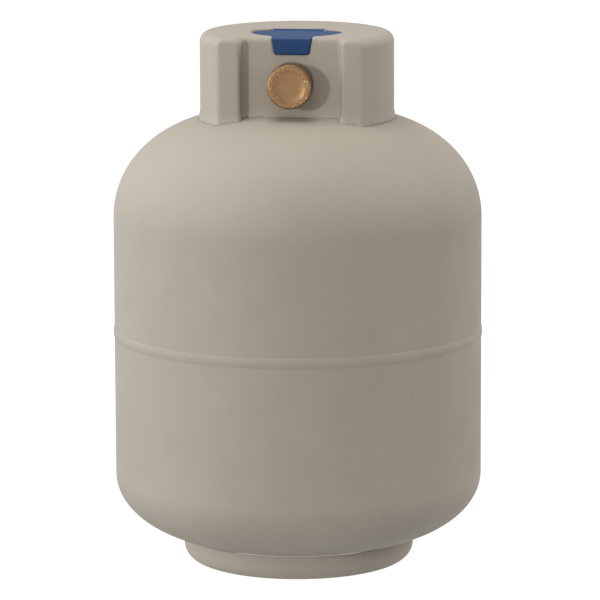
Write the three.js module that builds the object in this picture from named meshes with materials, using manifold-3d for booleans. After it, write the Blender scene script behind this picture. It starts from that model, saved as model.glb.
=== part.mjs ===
// A 20 lb (9 kg) LPG cylinder with a closed valve guard. Millimetres, +Z up, the outlet faces -Y.
// The origin is on the floor, under the middle of the vessel.
import * as THREE from 'three';
import { mergeVertices } from 'three/addons/utils/BufferGeometryUtils.js';
import Module from 'manifold-3d';

const wasm = await Module();
wasm.setup();

// ---- Driving dimensions -------------------------------------------------------------------

const clearance = 0.3; // between pieces that touch or run in each other

// Vessel: two deep-drawn halves, each with a straight wall and a domed head
const vesselRadius = 155;
const vesselWall = 2.1;
const floorClearance = 14.4; // under the lower head
const lowerHeadDepth = 60.9;
const lowerHeadPower = 2.99; // the head is (r / R) ^ power + (z / depth) ^ 2 = 1
const lowerWallHeight = 121.6;
const upperWallHeight = 97.5;
const upperHeadDepth = 90.9;
const upperHeadPower = 2.94;
const girthWeldWidth = 10;
const girthWeldProud = 1.2;
const backingRingHeight = 20;
const backingRingWall = 2;

// Foot ring, rolled inwards at the floor
const footRadius = 97.4;
const footWall = 3;
const footRollRadius = 14.4;
const footFlatWidth = 7;
const footWeldLeg = 3.2;

// Boss in the upper head, which the valve screws into
const bossRadius = 21;
const bossBore = 12.5;
const bossStandsProud = 3.2;
const bossHangsBelow = 9;
const bossWeldLeg = 3.5;

// Guard: a moulded cover around the valve, with a flat front and a recessed panel in it
const guardRadius = 81.4;
const guardWall = 3;
const guardEdgeRadius = 7.9;
const guardFlatWidth = 18.4; // each of the two front flats
const recessDepth = 11.8;
const recessDraft = 1.5; // the recess is this much narrower at each side of its panel
const recessEdgeRadius = 4;
const handHoldWidth = 95;
const handHoldHeight = 28;
const handHoldBelowDeck = 17.6;

// Handwheel well under the cover, and the four posts that the guard is screwed to
const wellWall = 3;
const coverSeatBelowDeck = 4.1;
const coverSeatClearance = 0.9;
const coverLedge = 2.3; // the seat that the cover's edge rests on
const roofBelowSeat = 1.8; // underside of the deck's roof over the rear of the well
const panelAheadOfCover = 5.2;
const screwToWell = 0.8; // from a front screw head to the well's wall
const rearPostAngle = 4; // degrees behind the middle, where the roof doesn't cover them
const postRadius = 4.5;
const guardScrewRadius = 1.9;
const guardScrewHeadRadius = 3.8;
const guardScrewHeadHeight = 2.4;

// Cover: half a disc in front, a flatter curve behind, and a finger tab over the front panel
const coverRadius = 37.3;
const coverRear = 15.5;
const coverRearPower = 2.4;
const coverThickness = 2.5;
const coverRimDepth = 1.8;
const coverRimWidth = 1.6;
const coverRimGap = 0.6;
const tabTopWidth = 33;
const tabBottomWidth = 29;
const tabHeight = 13.6;
const tabThickness = 2.8;
const tabStandsProud = 1.2;
const hingeWidth = 44;
const hingeBehindCover = 2.3;
const knuckleRadius = 2.4;
const hingePinRadius = 1.2;
const hingePinEnd = 7.7; // of the pin, in the guard at each side

// Valve
const inletBore = 6.2;
const seatBore = 4;
const seatWall = 2.6;
const chamberBore = 9;
const valveRadius = 14;
const valveNeckRadius = 13;
const valveHexRadius = 16;
const valveHexHeight = 5;
const outletArmRadius = 13;
const outletBore = 5;
const glandPlugLength = 7.5;
const glandHexRadius = 11.5;
const glandHexHeight = 2.6;
const stemRadius = 4;
const stemSquare = 5.6;
const seatLift = 3;

// Outlet fitting, check valve and cap
const threadRadius = 16.65;
const threadAheadOfPanel = 16.1;
const fittingShankRadius = 9.3;
const checkBore = 9;
const checkBoreDepth = 13.3;
const capWall = 1.6;
const capClearance = 0.35; // round the thread
const capFaceThickness = 2.8;
const capRimWidth = 6.5;
const capDishDepth = 1.1;
const capGapToPanel = 0.8;
const gasketThickness = 2;

// Relief valve, opposite the outlet
const reliefArmRadius = 10;
const reliefArmLength = 38;
const reliefBore = 7.5;
const reliefSeatBack = 18;
const reliefSeatBore = 3.5;

// Fixed-level bleed
const bleedAboveRelief = 17;
const bleedScrewRadius = 2;
const bleedHeadRadius = 3.8;
const dipTubeRadius = 1.6;
const dipTubeBore = 0.9;
const dipTubeReach = 102; // below the top of the upper head

// Overfill stop: float, arm, housing
const stopHousingBore = 5.2;
const stopHousingBelowHead = 40; // bottom of the tube, below the top of the upper head
const floatPivotBelowHead = 49;
const floatPinRadius = 1.2;
const floatArmRadius = 1.6;
const floatArmLength = 104;
const floatRadius = 10.5;
const floatLength = 42;

// Handwheel
const fingerGap = 11.8; // between the handwheel's lobes and the well
const handwheelLobe = 1.2;
const handwheelLobes = 10;
const handwheelHeight = 12;
const handwheelToCover = 2.8;

// ---- Heights and planes worked out from them ----------------------------------------------

const lowerTangent = floorClearance + lowerHeadDepth;
const seamHeight = lowerTangent + lowerWallHeight;
const upperTangent = seamHeight + upperWallHeight;
const headTop = upperTangent + upperHeadDepth;
const bossTop = headTop + bossStandsProud;
const bossBottom = headTop - bossHangsBelow;
const shankBottom = bossBottom - 2;
const pivotZ = headTop - floatPivotBelowHead;

// Each level of the valve clears the one below, and the guard's deck is set by the valve
const reliefZ = bossTop + 1.5 + reliefArmRadius;
const bleedZ = reliefZ + bleedAboveRelief;
const chamberFloor = reliefZ + reliefSeatBore + 0.5 + seatWall;
const outletZ = chamberFloor + outletBore;
const wellFloor = outletZ + outletArmRadius + 0.9 + wellWall;
const handwheelBottom = wellFloor + clearance + glandHexHeight + 0.6;
const handwheelTop = handwheelBottom + handwheelHeight;
const coverSeat = handwheelTop + handwheelToCover - clearance;
const deckTop = coverSeat + coverSeatBelowDeck;
const coverBottom = coverSeat + clearance;
const coverTop = coverBottom + coverThickness;
const hingeZ = coverBottom + coverThickness / 2;

const wellRadius = coverRadius - coverLedge;
const hingeBack = coverRear + hingeBehindCover;
const hingePinLength = hingeWidth + 2 * hingePinEnd;
const panelForward = coverRadius + panelAheadOfCover;
const guardFlatsForward = panelForward + recessDepth;
const recessHalfWidth = Math.sqrt(guardRadius ** 2 - guardFlatsForward ** 2) - guardFlatWidth;
const handwheelRadius = wellRadius - fingerGap - handwheelLobe;
const screwRing = wellRadius - guardScrewHeadRadius - screwToWell;
const fittingBack = wellRadius + wellWall + 1;
const outletArmLength = fittingBack - 3;
const fittingFront = panelForward + threadAheadOfPanel;
const capRadius = threadRadius + capClearance + capWall;
const shankRadius = bossBore - clearance;
const dipTubeOffset = (inletBore + shankRadius) / 2;
const stopHousingRadius = dipTubeOffset - dipTubeRadius - 0.4;

const shellSides = 40;
const valveSides = 20;
const smallSides = 12;

// ---- Materials ----------------------------------------------------------------------------

const finish = (color, roughness, metalness) =>
  new THREE.MeshStandardMaterial({ color, roughness, metalness });
const paintedSteel = () => finish(0xada598, 0.75, 0);
const guardPlastic = () => finish(0xb0a89b, 0.8, 0);
const bluePlastic = () => finish(0x2a4c74, 0.6, 0);
const brass = () => finish(0xb08850, 0.4, 1);
const zincSteel = () => finish(0xb8bcc0, 0.35, 1);
const springSteel = () => finish(0x9a9da0, 0.3, 1);
const bareSteel = () => finish(0x77746f, 0.55, 1);
const rubber = () => finish(0x1c1c1c, 0.85, 0);
const blackPlastic = () => finish(0x26282a, 0.5, 0);
const floatFoam = () => finish(0x3a3a3c, 0.9, 0);

// ---- Shape helpers ------------------------------------------------------------------------

// A closed mesh with shared corners, as a solid that can be joined and cut
function solid(geometry) {
  const bare = geometry.clone();
  bare.deleteAttribute('normal');
  bare.deleteAttribute('uv');
  const merged = mergeVertices(bare, 1e-4);
  const index = merged.index.array;
  const corners = [];
  for (let i = 0; i < index.length; i += 3) {
    const [a, b, c] = [index[i], index[i + 1], index[i + 2]];
    if (a !== b && b !== c && c !== a) corners.push(a, b, c);
  }
  return new wasm.Manifold(new wasm.Mesh({
    numProp: 3,
    vertProperties: new Float32Array(merged.attributes.position.array),
    triVerts: new Uint32Array(corners),
  }));
}

function geometryOf(manifold) {
  const mesh = manifold.getMesh();
  const geometry = new THREE.BufferGeometry();
  geometry.setAttribute('position', new THREE.BufferAttribute(mesh.vertProperties, 3));
  geometry.setIndex(new THREE.BufferAttribute(mesh.triVerts, 1));
  geometry.computeVertexNormals();
  return geometry;
}

const joined = (first, ...others) => others.reduce((sum, other) => sum.add(solid(other)), solid(first));
const cut = (body, ...tools) => tools.reduce((rest, tool) => rest.subtract(solid(tool)), body);

// [r, z] corners turned about Z, anticlockwise in the r-z plane; a ring closes on its first corner
function turned(corners, sides) {
  const onAxis = corners[0][0] === 0;
  const points = (onAxis ? corners : [...corners, corners[0]]).map(([r, z]) => new THREE.Vector2(r, z));
  return new THREE.LatheGeometry(points, sides).rotateX(Math.PI / 2);
}

const rod = (radius, from, to, sides = valveSides) =>
  turned([[0, from], [radius, from], [radius, to], [0, to]], sides);
const ring = (inner, outer, from, to, sides = valveSides) =>
  turned([[inner, from], [outer, from], [outer, to], [inner, to]], sides);
const hexagon = (radius, from, to) => rod(radius, from, to, 6);

function block(x, y, z) {
  return new THREE.BoxGeometry(x[1] - x[0], y[1] - y[0], z[1] - z[0])
    .translate((x[0] + x[1]) / 2, (y[0] + y[1]) / 2, (z[0] + z[1]) / 2);
}

const extruded = (shape, depth, curveSegments) =>
  new THREE.ExtrudeGeometry(shape, { depth, curveSegments, bevelEnabled: false });

// Turned about Z, then laid so that +Z points to the front (-Y) or the rear (+Y), at a height
const toFront = (geometry, height) => geometry.rotateX(Math.PI / 2).translate(0, 0, height);
const toRear = (geometry, height) => geometry.rotateX(-Math.PI / 2).translate(0, 0, height);

// Points of an arc in the r-z plane, in degrees
function arc(centre, radius, from, to, steps) {
  return Array.from({ length: steps + 1 }, (_, i) => {
    const angle = THREE.MathUtils.degToRad(from + (to - from) * i / steps);
    return [centre[0] + radius * Math.cos(angle), centre[1] + radius * Math.sin(angle)];
  });
}

const headHeightAt = (r, radius, depth, power) => depth * Math.sqrt(1 - (r / radius) ** power);

// A head's curve from its tangent line in to radius `inner`, as [r, height] above the tangent line
function headCurve(radius, depth, power, inner, steps) {
  const end = Math.asin(headHeightAt(inner, radius, depth, power) / depth);
  return Array.from({ length: steps + 1 }, (_, i) => {
    const t = end * i / steps;
    return [radius * Math.cos(t) ** (2 / power), depth * Math.sin(t)];
  });
}

const upperHead = (r) => upperTangent + headHeightAt(r, vesselRadius, upperHeadDepth, upperHeadPower);
const lowerHead = (r) => lowerTangent - headHeightAt(r, vesselRadius, lowerHeadDepth, lowerHeadPower);

// A wire coil about Z
function coil(radius, wire, from, to, turns) {
  const stepsPerTurn = 8;
  const steps = Math.round(turns * stepsPerTurn);
  const points = Array.from({ length: steps + 1 }, (_, i) => {
    const angle = 2 * Math.PI * i / stepsPerTurn;
    const height = from + wire + (to - from - 2 * wire) * i / steps;
    return new THREE.Vector3(radius * Math.cos(angle), radius * Math.sin(angle), height);
  });
  const section = new THREE.Shape().absarc(0, 0, wire, 0, 2 * Math.PI);
  return new THREE.ExtrudeGeometry(section, {
    curveSegments: 5,
    steps,
    extrudePath: new THREE.CatmullRomCurve3(points),
    bevelEnabled: false,
  });
}

// ---- The object ---------------------------------------------------------------------------

const tank = new THREE.Group();

function add(name, geometry, material, parent = tank) {
  const mesh = new THREE.Mesh(geometry.isBufferGeometry ? geometry : geometryOf(geometry), material);
  mesh.name = name;
  parent.add(mesh);
  return mesh;
}

// ---- Vessel -------------------------------------------------------------------------------

const headSteps = 9;

function lowerShell() {
  const outside = headCurve(vesselRadius, lowerHeadDepth, lowerHeadPower, 0, headSteps);
  const inside = headCurve(
    vesselRadius - vesselWall, lowerHeadDepth - vesselWall, lowerHeadPower, 0, headSteps);
  const rim = seamHeight - clearance / 2;
  const below = (curve) => curve.map(([r, h]) => [r, lowerTangent - h]);
  const outer = below(outside).reverse();
  const inner = below(inside);
  outer[0][0] = 0;
  inner[inner.length - 1][0] = 0;
  const joint = [[vesselRadius, rim], [vesselRadius - vesselWall, rim]];
  return turned([...outer, ...joint, ...inner], shellSides);
}

function upperShell() {
  const hole = bossRadius + clearance;
  const outside = headCurve(vesselRadius, upperHeadDepth, upperHeadPower, hole, headSteps);
  const inside = headCurve(
    vesselRadius - vesselWall, upperHeadDepth - vesselWall, upperHeadPower, hole, headSteps);
  const rim = seamHeight + clearance / 2;
  const above = (curve) => curve.map(([r, h]) => [r, upperTangent + h]);
  const inner = above(inside).reverse();
  return turned(
    [[vesselRadius, rim], ...above(outside), ...inner, [vesselRadius - vesselWall, rim]], shellSides);
}

function girthWeld() {
  const inner = vesselRadius + clearance;
  const crown = vesselRadius + girthWeldProud;
  const half = girthWeldWidth / 2;
  return turned([
    [inner, seamHeight - half],
    [(inner + crown) / 2, seamHeight - half * 0.8],
    [crown, seamHeight - half * 0.3],
    [crown, seamHeight + half * 0.3],
    [(inner + crown) / 2, seamHeight + half * 0.8],
    [inner, seamHeight + half],
  ], shellSides);
}

function backingRing() {
  const outer = vesselRadius - vesselWall - clearance;
  const half = backingRingHeight / 2;
  return ring(outer - backingRingWall, outer, seamHeight - half, seamHeight + half, shellSides);
}

add('lower_shell', lowerShell(), paintedSteel());
add('upper_shell', upperShell(), paintedSteel());
add('girth_weld', girthWeld(), paintedSteel());
add('backing_ring', backingRing(), bareSteel());

// ---- Foot ring ----------------------------------------------------------------------------

function footRing() {
  const inner = footRadius - footWall;
  const rollCentre = [footRadius - footRollRadius, footRollRadius];
  const toeRadius = rollCentre[0] - footFlatWidth;
  const outerRoll = arc(rollCentre, footRollRadius, -90, 0, 5);
  const innerRoll = arc(rollCentre, footRollRadius - footWall, 0, -90, 5);
  return turned([
    [toeRadius, 0],
    ...outerRoll,
    [footRadius, lowerHead(footRadius) - clearance],
    [inner, lowerHead(inner) - clearance],
    ...innerRoll,
    [toeRadius, footWall],
  ], shellSides);
}

function footRingWeld() {
  const outer = footRadius - footWall - clearance;
  const inner = outer - footWeldLeg;
  const root = lowerHead(outer) - clearance;
  return turned(
    [[inner, lowerHead(inner) - clearance], [outer, root - footWeldLeg], [outer, root]], shellSides);
}

add('foot_ring', footRing(), paintedSteel());
add('foot_ring_weld', footRingWeld(), paintedSteel());

// ---- Valve boss ---------------------------------------------------------------------------

add('valve_boss', ring(bossBore, bossRadius, bossBottom, bossTop), bareSteel());

function bossWeld() {
  const inner = bossRadius + clearance;
  const outer = inner + bossWeldLeg;
  const root = upperHead(inner) + clearance;
  return turned(
    [[inner, root], [outer, upperHead(outer) + clearance], [inner, bossTop - clearance]], valveSides);
}

add('boss_weld', bossWeld(), paintedSteel());

// ---- Guard --------------------------------------------------------------------------------

// Plan of the guard's front: the flats and the recessed panel, `inset` inside the outer skin
function guardFront(inset) {
  const flats = -guardFlatsForward + inset;
  const panel = -panelForward + inset;
  const mouth = recessHalfWidth + inset;
  const back = recessHalfWidth - recessDraft + inset;
  const edge = recessEdgeRadius - (inset > 0 ? 1 : 0);
  const side = 2 * guardRadius;
  const shape = new THREE.Shape();
  shape.moveTo(-side, flats);
  shape.lineTo(-mouth - edge, flats);
  shape.quadraticCurveTo(-mouth, flats, -mouth, flats + edge);
  shape.lineTo(-back, panel);
  shape.lineTo(back, panel);
  shape.lineTo(mouth, flats + edge);
  shape.quadraticCurveTo(mouth, flats, mouth + edge, flats);
  shape.lineTo(side, flats);
  shape.lineTo(side, side);
  shape.lineTo(-side, side);
  shape.closePath();
  return shape;
}

function guardForm(inset, from, top) {
  const radius = guardRadius - inset;
  const edge = guardEdgeRadius - inset;
  const roof = arc([radius - edge, top - edge], edge, 0, 90, 5);
  const drum = turned([[0, from], [radius, from], ...roof, [0, top]], shellSides);
  const front = extruded(guardFront(inset), top - from + 2, 4).translate(0, 0, from - 1);
  return solid(drum).intersect(solid(front));
}

// The vessel's top, raised by the clearance, which the guard's lower edge follows
function domeCutter() {
  const curve = headCurve(vesselRadius, upperHeadDepth, upperHeadPower, 0, 24)
    .map(([r, h]) => [r, upperTangent + h + clearance]);
  curve[curve.length - 1][0] = 0;
  return turned([[0, upperTangent - 20], [vesselRadius, upperTangent - 20], ...curve], shellSides);
}

const handHoldTop = deckTop - handHoldBelowDeck;

function handHold() {
  const half = handHoldWidth / 2;
  const end = handHoldHeight / 2;
  const shape = new THREE.Shape();
  shape.absarc(half - end, 0, end, -Math.PI / 2, Math.PI / 2);
  shape.absarc(-half + end, 0, end, Math.PI / 2, 3 * Math.PI / 2);
  shape.closePath();
  return toRear(extruded(shape, guardRadius, 8), 0)
    .translate(0, wellRadius + 2 * wellWall, handHoldTop - end);
}

const tabPocketBack = panelForward + tabStandsProud - tabThickness - clearance;
const tabSideGap = 0.4;
const coverSeatRadius = coverRadius + coverSeatClearance;
const seatWallRadius = coverSeatRadius + wellWall;
const postPlaces = [225, 315, rearPostAngle, 180 - rearPostAngle].map((degrees) => {
  const angle = THREE.MathUtils.degToRad(degrees);
  return [screwRing * Math.cos(angle), screwRing * Math.sin(angle)];
});

// The cover's plan, `grown` outside it: half a circle in front and half a flat oval behind
function coverPlan(grown) {
  const front = arc([0, 0], coverRadius + grown, 180, 360, shellSides / 2);
  const steps = 14;
  const rear = Array.from({ length: steps - 1 }, (_, i) => {
    const t = Math.PI * (i + 1) / steps;
    const x = (coverRadius + grown) * Math.sign(Math.cos(t)) * Math.abs(Math.cos(t)) ** (2 / coverRearPower);
    return [x, (coverRear + grown) * Math.sin(t) ** (2 / coverRearPower)];
  });
  return new THREE.Shape([...front, ...rear].map(([x, y]) => new THREE.Vector2(x, y)));
}

const coverSlab = (grown, from, to) => extruded(coverPlan(grown), to - from, 1).translate(0, 0, from);

// Slot in the panel and deck for the tab, as an outline in X-Z, `gap` larger than the tab
function tabOutline(gap, rise) {
  const corner = 3;
  const taper = (tabTopWidth - tabBottomWidth) / 2 / (tabHeight - corner);
  const top = tabTopWidth / 2 + gap + taper * rise;
  const bottom = tabBottomWidth / 2 + gap;
  const low = coverTop - tabHeight - gap;
  const shape = new THREE.Shape();
  shape.moveTo(-top, coverTop + rise);
  shape.lineTo(-bottom, low + corner);
  shape.quadraticCurveTo(-bottom, low, -bottom + corner, low);
  shape.lineTo(bottom - corner, low);
  shape.quadraticCurveTo(bottom, low, bottom, low + corner);
  shape.lineTo(top, coverTop + rise);
  shape.closePath();
  return shape;
}

function tabSolid(gap, rise, back, front) {
  return toFront(extruded(tabOutline(gap, rise), front - back, 3), 0).translate(0, -back, 0);
}

const roofUnderside = coverSeat - roofBelowSeat;
const hingeHalf = hingeWidth / 2 + clearance;
const hingePocket = knuckleRadius + 0.4;

function guardShell() {
  const hollow = guardForm(guardWall, upperTangent, deckTop - guardWall);
  const skin = guardForm(0, upperTangent, deckTop).subtract(hollow);
  const seatUnderside = coverSeat - 5.5;
  const wellBlock = turned([
    [0, wellFloor - wellWall],
    [wellRadius + wellWall, wellFloor - wellWall],
    [wellRadius + wellWall, seatUnderside - wellWall],
    [seatWallRadius, seatUnderside],
    [seatWallRadius, deckTop - 1],
    [0, deckTop - 1],
  ], shellSides);
  const tabHalf = tabTopWidth / 2;
  const tabBlock = block(
    [-tabHalf - 4, tabHalf + 4],
    [-panelForward + 0.5, -wellRadius + 2],
    [coverTop - tabHeight - 2.4, deckTop - 1],
  );
  const front = guardForm(0, upperTangent, deckTop);
  const whole = skin.add(solid(wellBlock)).add(solid(tabBlock)).intersect(front);
  const pinHoleEnd = hingePinLength / 2 + clearance;
  const pinHole = rod(hingePinRadius + clearance, -pinHoleEnd, pinHoleEnd, smallSides)
    .rotateY(Math.PI / 2).translate(0, hingeBack, hingeZ);
  const screwHoles = postPlaces.map(([x, y]) =>
    rod(guardScrewRadius + 0.4, wellFloor - 2 * wellWall, wellFloor + 1, smallSides).translate(x, y, 0));
  return cut(
    whole,
    rod(wellRadius, wellFloor, roofUnderside, shellSides),
    coverSlab(-coverLedge, roofUnderside - 1, coverSeat + 1),
    coverSlab(coverSeatClearance, coverSeat, deckTop + 1),
    rod(valveNeckRadius + 0.5, wellFloor - 2 * wellWall, wellFloor + 1),
    block([-hingeHalf, hingeHalf], [0, hingeBack + hingePocket], [roofUnderside - 1, deckTop + 1]),
    tabSolid(tabSideGap, 5, tabPocketBack, panelForward + 8),
    block(
      [-tabHalf - tabSideGap, tabHalf + tabSideGap],
      [-panelForward - 2, -coverRadius + 7],
      [coverSeat, deckTop + 1],
    ),
    toFront(rod(threadRadius + 0.6, panelForward - guardWall - 2, panelForward + 2), outletZ),
    handHold(),
    pinHole,
    ...screwHoles,
    domeCutter(),
  );
}

add('guard_shell', guardShell(), guardPlastic());

postPlaces.forEach(([x, y], i) => {
  const foot = upperHead(Math.hypot(x, y) - postRadius) + clearance;
  const head = wellFloor - wellWall - clearance;
  const tube = ring(guardScrewRadius + 0.4, postRadius, foot, head, smallSides);
  add(`guard_post_${i + 1}`, tube, zincSteel()).position.set(x, y, 0);
  const headBottom = wellFloor + clearance;
  const headTopZ = headBottom + guardScrewHeadHeight;
  const shankEnd = headBottom - 22;
  const screw = cut(
    joined(
      rod(guardScrewRadius, shankEnd, headBottom + 1, smallSides),
      rod(guardScrewHeadRadius, headBottom, headTopZ, smallSides),
    ),
    block([-2.4, 2.4], [-0.5, 0.5], [headTopZ - 1.4, headTopZ + 1]),
    block([-0.5, 0.5], [-2.4, 2.4], [headTopZ - 1.4, headTopZ + 1]),
  );
  add(`guard_screw_${i + 1}`, screw, zincSteel()).position.set(x, y, 0);
});

// ---- Cover --------------------------------------------------------------------------------

function valveCover() {
  const half = hingeWidth / 2;
  const atHinge = (part) => part.rotateY(Math.PI / 2).translate(0, hingeBack, hingeZ);
  const tabFront = panelForward + tabStandsProud;
  const bridgeHalf = tabTopWidth / 2;
  const rimIn = coverLedge + coverRimGap;
  const rimBottom = coverBottom - coverRimDepth;
  const rim = cut(
    solid(coverSlab(-rimIn, rimBottom, coverBottom + 1)),
    coverSlab(-rimIn - coverRimWidth, rimBottom - 1, coverBottom + 2),
  );
  const plate = joined(
    coverSlab(0, coverBottom, coverTop),
    block([-half, half], [0, hingeBack], [coverBottom, coverTop]),
    atHinge(rod(knuckleRadius, -half, half, smallSides)),
    tabSolid(0, 0, tabFront - tabThickness, tabFront),
    block([-bridgeHalf, bridgeHalf], [-tabFront + 0.5, -coverRadius + 6], [coverBottom, coverTop]),
  );
  return cut(
    plate.add(rim),
    atHinge(rod(hingePinRadius + clearance, -half - 1, half + 1, smallSides)),
  );
}

add('valve_cover', valveCover(), bluePlastic());

const pinRod = rod(hingePinRadius, -hingePinLength / 2, hingePinLength / 2, smallSides);
const hingePin = add('cover_hinge_pin', pinRod, zincSteel());
hingePin.rotation.y = Math.PI / 2;
hingePin.position.set(0, hingeBack, hingeZ);

// ---- Valve body ---------------------------------------------------------------------------

const valveTop = wellFloor;
const glandBottom = valveTop + clearance - glandPlugLength;
const hexBottom = bossTop + clearance;
const armBoreStart = outletArmLength - 14;
const dipTubeSocket = 8;
const bleedBossLength = valveRadius + 4;
const bleedScrewEnd = valveRadius - 3;

function valveBody() {
  return cut(
    joined(
      rod(shankRadius, shankBottom, hexBottom + 1),
      hexagon(valveHexRadius, hexBottom, hexBottom + valveHexHeight),
      rod(valveRadius, hexBottom + 1, valveTop - 7),
      rod(valveNeckRadius, valveTop - 8, valveTop),
      toFront(rod(outletArmRadius, 0, outletArmLength), outletZ),
      toRear(rod(reliefArmRadius, 0, reliefArmLength), reliefZ),
      toRear(rod(bleedHeadRadius + 1, 0, bleedBossLength, smallSides), bleedZ),
    ),
    rod(inletBore, shankBottom - 1, chamberFloor - seatWall),
    rod(seatBore, chamberFloor - seatWall - 1, chamberFloor + 1),
    rod(chamberBore, chamberFloor, valveTop + 1),
    toFront(rod(outletBore, 0, armBoreStart + 1), outletZ),
    toFront(rod(fittingShankRadius + clearance, armBoreStart, outletArmLength + 1), outletZ),
    toRear(rod(reliefSeatBore, 0, reliefSeatBack + 1), reliefZ),
    toRear(rod(reliefBore, reliefSeatBack, reliefArmLength + 1), reliefZ),
    toRear(rod(bleedScrewRadius + clearance, bleedScrewEnd - 0.5, bleedBossLength + 1, smallSides), bleedZ),
    rod(dipTubeRadius + clearance, shankBottom - 1, shankBottom + dipTubeSocket, smallSides)
      .translate(0, dipTubeOffset, 0),
  );
}

add('valve_body', valveBody(), brass());

const sealPocket = 2.7;
const sealRadius = stemRadius + 2.6;

function glandNut() {
  const hexTop = valveTop + clearance + glandHexHeight;
  return cut(
    joined(
      rod(chamberBore - clearance, glandBottom, valveTop + 1),
      hexagon(glandHexRadius, valveTop + clearance, hexTop),
    ),
    rod(stemRadius + clearance, glandBottom - 1, hexTop + 1),
    rod(sealRadius + clearance, glandBottom - 1, glandBottom + sealPocket),
  );
}

add('gland_nut', glandNut(), brass());
const stemSealTop = glandBottom + sealPocket - clearance;
add('stem_seal', ring(stemRadius + clearance, sealRadius, glandBottom + 0.2, stemSealTop), rubber());

// ---- Handwheel, stem and seat -------------------------------------------------------------

const hubRecess = 2.6;
const hubRecessRadius = 6.3;
const wheelRim = 5.5;
const wheelWeb = 4;
const pistonBottom = chamberFloor + clearance;
const pistonTop = glandBottom - seatLift - 1;
const stemBottom = pistonTop - 3;
const stemTop = handwheelTop - hubRecess - clearance;

function handwheel() {
  const lobes = handwheelLobes;
  const outline = Array.from({ length: lobes * 6 }, (_, i) => {
    const angle = 2 * Math.PI * i / (lobes * 6);
    const radius = handwheelRadius + handwheelLobe * Math.cos(lobes * angle);
    return new THREE.Vector2(radius * Math.cos(angle), radius * Math.sin(angle));
  });
  const wheel = extruded(new THREE.Shape(outline), handwheelHeight, 1).translate(0, 0, handwheelBottom);
  return cut(
    solid(wheel),
    rod(stemRadius + clearance, handwheelBottom - 1, handwheelTop + 1),
    rod(hubRecessRadius, handwheelTop - hubRecess, handwheelTop + 1),
    ring(hubRecessRadius + 3.2, handwheelRadius - wheelRim, handwheelBottom + wheelWeb, handwheelTop + 1),
  );
}

add('handwheel', handwheel(), blackPlastic());

const screwShank = 8;
const stem = cut(
  joined(
    rod(stemRadius, pistonTop + seatLift + 0.5, stemTop),
    block(
      [-stemSquare / 2, stemSquare / 2],
      [-stemSquare / 2, stemSquare / 2],
      [stemBottom, pistonTop + seatLift + 1],
    ),
  ),
  rod(2, stemTop - screwShank - 1, stemTop + 1, smallSides),
);
add('valve_stem', stem, brass());

const wheelScrewHead = stemTop + 2 * clearance;
const wheelScrew = cut(
  joined(
    rod(1.7, stemTop - screwShank, wheelScrewHead + 0.5, smallSides),
    rod(5.4, wheelScrewHead, handwheelTop - 0.2, 16),
  ),
  block([-4, 4], [-0.6, 0.6], [handwheelTop - 1, handwheelTop + 1]),
);
add('handwheel_screw', wheelScrew, zincSteel());

const pistonRadius = chamberBore - 0.4;
const seatDiscThickness = 2.6;

function seatPiston() {
  const socket = stemSquare / 2 + clearance;
  return cut(
    joined(rod(6.6, pistonBottom, pistonTop - 2), rod(pistonRadius, pistonTop - 4, pistonTop)),
    rod(5.7, pistonBottom - 1, pistonBottom + seatDiscThickness + clearance),
    block([-socket, socket], [-socket, socket], [stemBottom - seatLift - 0.4, pistonTop + 1]),
  );
}

add('seat_piston', seatPiston(), brass());
add('seat_disc', rod(5.4, pistonBottom, pistonBottom + seatDiscThickness), rubber());

// ---- Outlet fitting, check valve, gasket and cap ------------------------------------------

function outletFitting() {
  return cut(
    solid(turned([
      [0, armBoreStart + clearance],
      [fittingShankRadius, armBoreStart + clearance],
      [fittingShankRadius, fittingBack],
      [threadRadius, fittingBack],
      [threadRadius, fittingFront - 1],
      [threadRadius - 1, fittingFront],
      [0, fittingFront],
    ], valveSides)),
    rod(outletBore, armBoreStart - 1, fittingFront + 1),
    rod(checkBore, fittingFront - checkBoreDepth, fittingFront + 1),
  );
}

const frontMesh = (name, geometry, material) => {
  const mesh = add(name, geometry, material);
  mesh.rotation.x = Math.PI / 2;
  mesh.position.z = outletZ;
  return mesh;
};

frontMesh('outlet_fitting', outletFitting(), brass());
const fittingSealFrom = outletArmLength + clearance;
const fittingSealTo = fittingBack - clearance;
const fittingSeal = ring(
  fittingShankRadius + clearance, fittingShankRadius + 2.5, fittingSealFrom, fittingSealTo);
frontMesh('fitting_seal', fittingSeal, rubber());

const retainerLength = 3.2;
const retainerFront = fittingFront - clearance;
const retainerBack = retainerFront - retainerLength;
const plungerHeadFront = retainerBack - clearance;
const plungerHeadBack = plungerHeadFront - 2.5;
frontMesh('check_retainer', ring(5.8, checkBore - clearance, retainerBack, retainerFront), brass());
frontMesh('check_plunger', turned([
  [0, plungerHeadBack - 5],
  [2, plungerHeadBack - 5],
  [2, plungerHeadBack],
  [8.2, plungerHeadBack],
  [8.2, plungerHeadFront],
  [5.4, plungerHeadFront],
  [5.4, plungerHeadFront + 2.7],
  [0, plungerHeadFront + 2.7],
], valveSides), brass());
const checkSpringBack = fittingFront - checkBoreDepth + clearance;
frontMesh('check_spring', coil(6.3, 0.4, checkSpringBack, plungerHeadBack - clearance, 3), springSteel());

const gasketBack = fittingFront + clearance;
const gasketFront = gasketBack + gasketThickness;
const capInside = gasketFront + clearance;
const capFront = capInside + capFaceThickness;
frontMesh('cap_gasket', ring(6, threadRadius - 0.3, gasketBack, gasketFront), rubber());

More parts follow.
